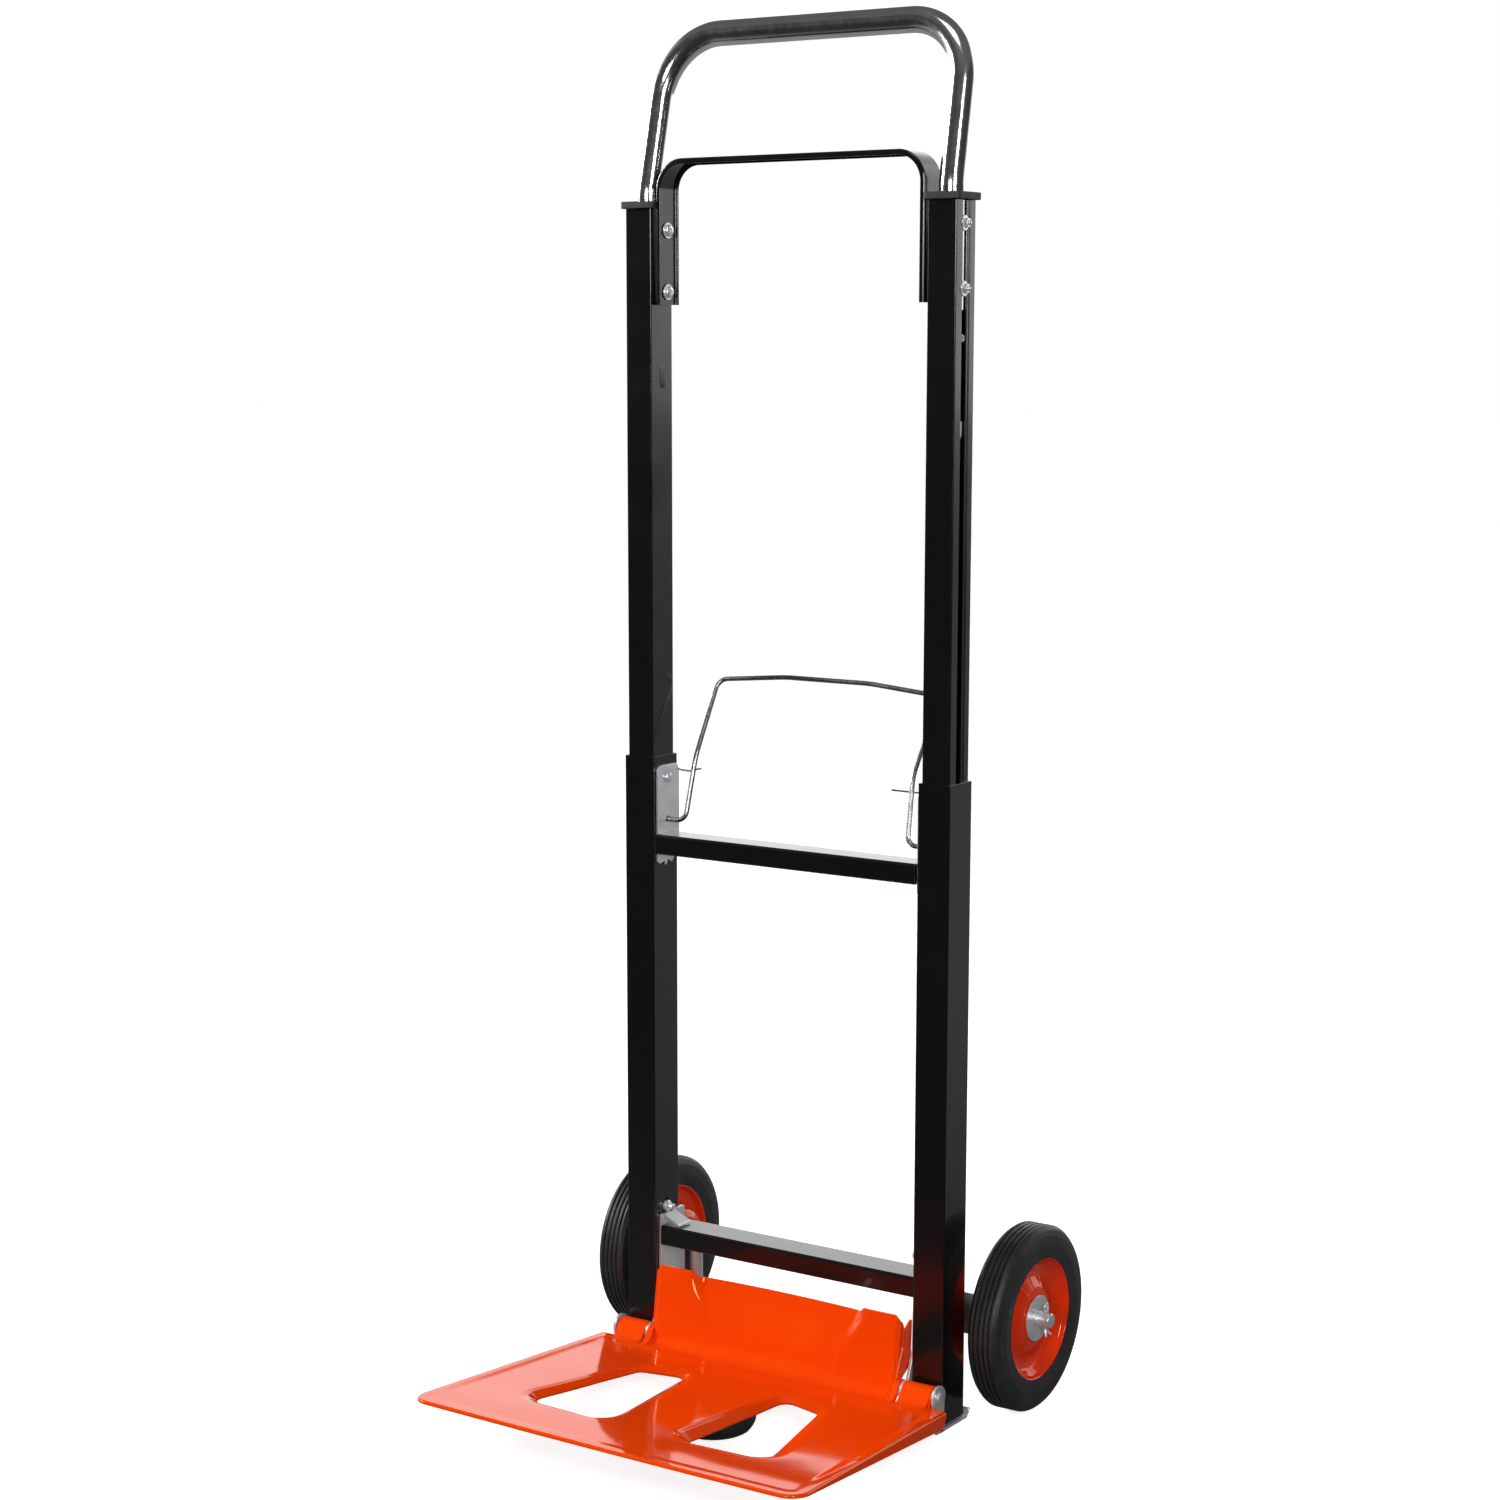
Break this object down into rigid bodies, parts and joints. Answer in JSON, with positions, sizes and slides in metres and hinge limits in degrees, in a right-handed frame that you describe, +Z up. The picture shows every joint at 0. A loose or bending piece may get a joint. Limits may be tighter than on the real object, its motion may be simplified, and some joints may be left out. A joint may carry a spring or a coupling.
{
  "type": "hand truck",
  "caption": "Folding two-wheeled hand truck with a telescoping tube frame, hoop handle, pressed folding toe plate and a wire bail.",
  "frame": {"origin": "centre of the footprint at floor level", "axes": "+Z up along the uprights, -Y towards the toe plate, +X to the right seen from the front"},
  "size_m": [0.4056, 0.4144, 1.093],
  "materials": {
    "black_coat": "gloss black powder coat on steel",
    "orange_coat": "gloss orange powder coat on pressed steel",
    "rim_coat": "gloss red-orange paint on pressed steel",
    "bright_chrome": "mirror chrome plate",
    "zinc_plate": "clear zinc plate",
    "cap_plastic": "matte dark grey moulded plastic",
    "tyre_rubber": "solid black rubber",
    "foot_rubber": "matte black rubber"
  },
  "bodies": {
    "frame": {"bail_bracket_left": "zinc_plate", "bail_bracket_right": "zinc_plate", "bail_bracket_screw_left": "zinc_plate", "bail_bracket_screw_right": "zinc_plate", "foot_bracket_left": "zinc_plate", "foot_bracket_right": "zinc_plate", "foot_stud_left": "zinc_plate", "foot_stud_right": "zinc_plate", "lower_crossbar": "black_coat", "lower_tube_left": "black_coat", "lower_tube_right": "black_coat", "stop_wire_left": "zinc_plate", "stop_wire_right": "zinc_plate", "toe_hinge_pin_left": "zinc_plate", "toe_hinge_pin_right": "zinc_plate", "upper_crossbar": "black_coat", "wheel_hinge_pin_left": "zinc_plate", "wheel_hinge_pin_right": "zinc_plate"},
    "upper_frame": {"brace_loop": "black_coat", "brace_nut_lower_left": "zinc_plate", "brace_nut_lower_right": "zinc_plate", "brace_nut_upper_left": "zinc_plate", "brace_nut_upper_right": "zinc_plate", "brace_screw_lower_left": "zinc_plate", "brace_screw_lower_right": "zinc_plate", "brace_screw_upper_left": "zinc_plate", "brace_screw_upper_right": "zinc_plate", "end_cap_left": "cap_plastic", "end_cap_right": "cap_plastic", "handle": "bright_chrome", "latch_strip_left": "zinc_plate", "latch_strip_right": "zinc_plate", "slide_guide_left": "cap_plastic", "slide_guide_right": "cap_plastic", "slot_rivet_left": "zinc_plate", "slot_rivet_right": "zinc_plate", "upper_tube_left": "black_coat", "upper_tube_right": "black_coat"},
    "bail": {"bail": "bright_chrome"},
    "toe_plate": {"toe_foot": "foot_rubber", "toe_plate": "orange_coat"},
    "wheel_bracket_left": {"axle_left": "zinc_plate", "axle_washer_left": "zinc_plate", "split_pin_left": "zinc_plate", "wheel_bracket_left": "zinc_plate"},
    "wheel_bracket_right": {"axle_right": "zinc_plate", "axle_washer_right": "zinc_plate", "split_pin_right": "zinc_plate", "wheel_bracket_right": "zinc_plate"},
    "wheel_left": {"rim_inner_left": "rim_coat", "rim_outer_left": "rim_coat", "tyre_left": "tyre_rubber", "wheel_bush_left": "cap_plastic"},
    "wheel_right": {"rim_inner_right": "rim_coat", "rim_outer_right": "rim_coat", "tyre_right": "tyre_rubber", "wheel_bush_right": "cap_plastic"}
  },
  "joints": [
    {"name": "upper_slide", "type": "slide", "parent": "frame", "child": "upper_frame", "axis": [0, 0, -1], "range_m": [0, 0.36]},
    {"name": "toe_fold", "type": "hinge", "parent": "frame", "child": "toe_plate", "pos_m": [0, 0.0381, 0.03], "axis": [-1, 0, 0], "range_deg": [0, 88]},
    {"name": "wheel_fold_left", "type": "hinge", "parent": "frame", "child": "wheel_bracket_left", "pos_m": [-0.118, 0.0981, 0.079], "axis": [0, 0, -1], "range_deg": [0, 88]},
    {"name": "wheel_fold_right", "type": "hinge", "parent": "frame", "child": "wheel_bracket_right", "pos_m": [0.118, 0.0981, 0.079], "axis": [0, 0, 1], "range_deg": [0, 88]},
    {"name": "wheel_spin_left", "type": "hinge", "parent": "wheel_bracket_left", "child": "wheel_left", "pos_m": [-0.1794, 0.1322, 0.075], "axis": [1, 0, 0], "continuous": true},
    {"name": "wheel_spin_right", "type": "hinge", "parent": "wheel_bracket_right", "child": "wheel_right", "pos_m": [0.1794, 0.1322, 0.075], "axis": [1, 0, 0], "continuous": true},
    {"name": "bail_swing", "type": "hinge", "parent": "frame", "child": "bail", "pos_m": [0, 0.0647, 0.46], "axis": [1, 0, 0], "range_deg": [0, 95]}
  ],
  "couplings": [
    {"joint": "wheel_fold_left", "follows": "toe_fold", "ratio": 1},
    {"joint": "wheel_fold_right", "follows": "toe_fold", "ratio": 1}
  ]
}
